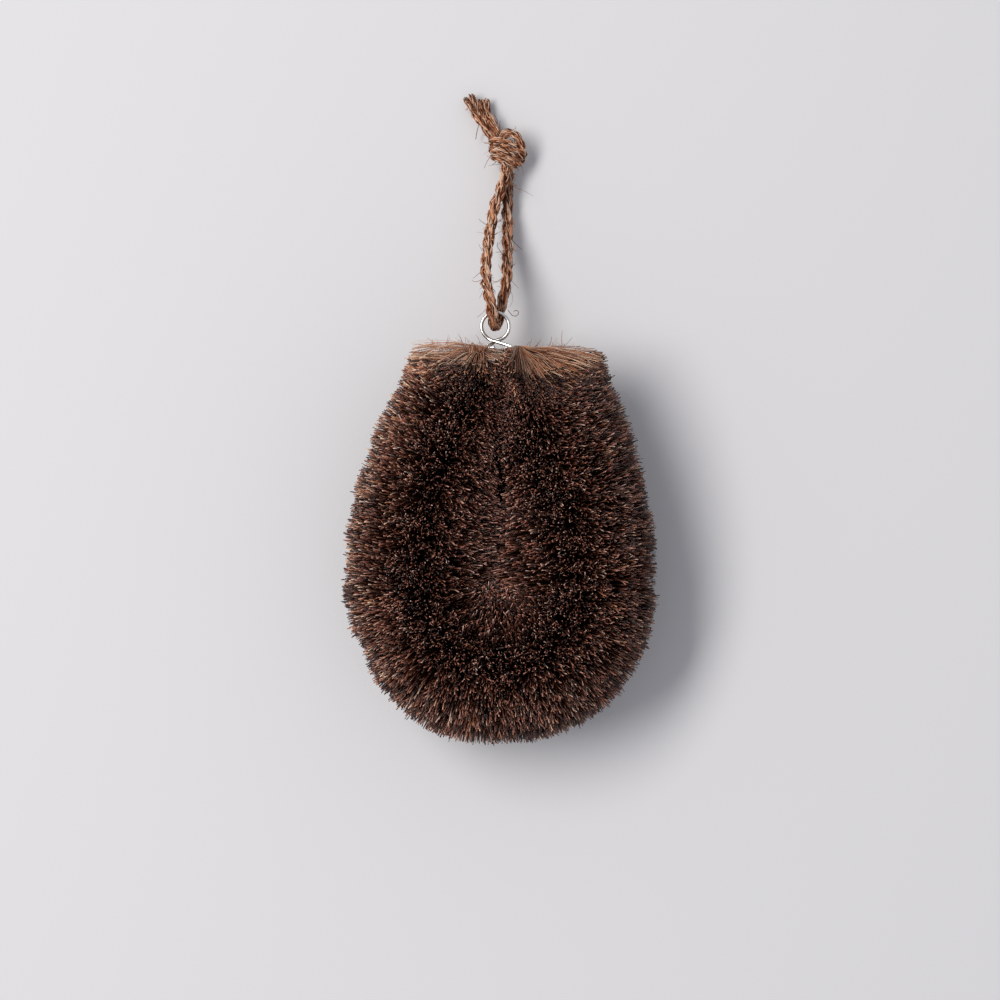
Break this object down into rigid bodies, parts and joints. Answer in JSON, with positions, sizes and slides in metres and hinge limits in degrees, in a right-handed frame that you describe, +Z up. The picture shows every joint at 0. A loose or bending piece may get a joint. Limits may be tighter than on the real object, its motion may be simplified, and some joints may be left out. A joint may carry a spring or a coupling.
{
  "type": "body dry brush",
  "caption": "Teardrop body brush: palm-fibre bristles held in a bent, twisted wire rod, with a wire eye and a knotted hanging loop of palm rope.",
  "frame": {"origin": "on the table under the middle of the brush and its eye, which lie on their bristles", "axes": "+X to the brush's right, +Y from the foot towards the eye, +Z up from the table"},
  "size_m": [0.1, 0.2122, 0.05],
  "materials": {
    "palm_fibre": "coarse dark brown palm bristle",
    "end_fibre": "coarse light brown palm bristle",
    "palm_rope": "laid palm rope with loose hairs",
    "steel_wire": "bright drawn stainless wire"
  },
  "bodies": {
    "brush": {"core_strand_lower": "steel_wire", "core_strand_upper": "steel_wire", "fibre_tuft_01": "end_fibre", "fibre_tuft_02": "palm_fibre", "fibre_tuft_03": "palm_fibre", "fibre_tuft_04": "palm_fibre", "fibre_tuft_05": "palm_fibre", "fibre_tuft_06": "palm_fibre", "fibre_tuft_07": "palm_fibre", "fibre_tuft_08": "palm_fibre", "fibre_tuft_09": "palm_fibre", "fibre_tuft_10": "palm_fibre", "fibre_tuft_11": "palm_fibre", "fibre_tuft_12": "palm_fibre", "fibre_tuft_13": "palm_fibre", "fibre_tuft_14": "palm_fibre", "fibre_tuft_15": "palm_fibre", "fibre_tuft_16": "palm_fibre", "fibre_tuft_17": "palm_fibre", "fibre_tuft_18": "end_fibre", "hanging_eye": "steel_wire", "wire_end_left": "steel_wire", "wire_end_right": "steel_wire"},
    "hanging_rope": {"rope_loop": "palm_rope", "rope_knot": "palm_rope", "rope_tail_left": "palm_rope", "rope_tail_right": "palm_rope"}
  },
  "joints": [
    {"name": "rope_swing", "type": "hinge", "parent": "brush", "child": "hanging_rope", "pos_m": [-0.0015, 0.0694, 0.021], "axis": [1, 0, 0], "range_deg": [0, 120]}
  ]
}
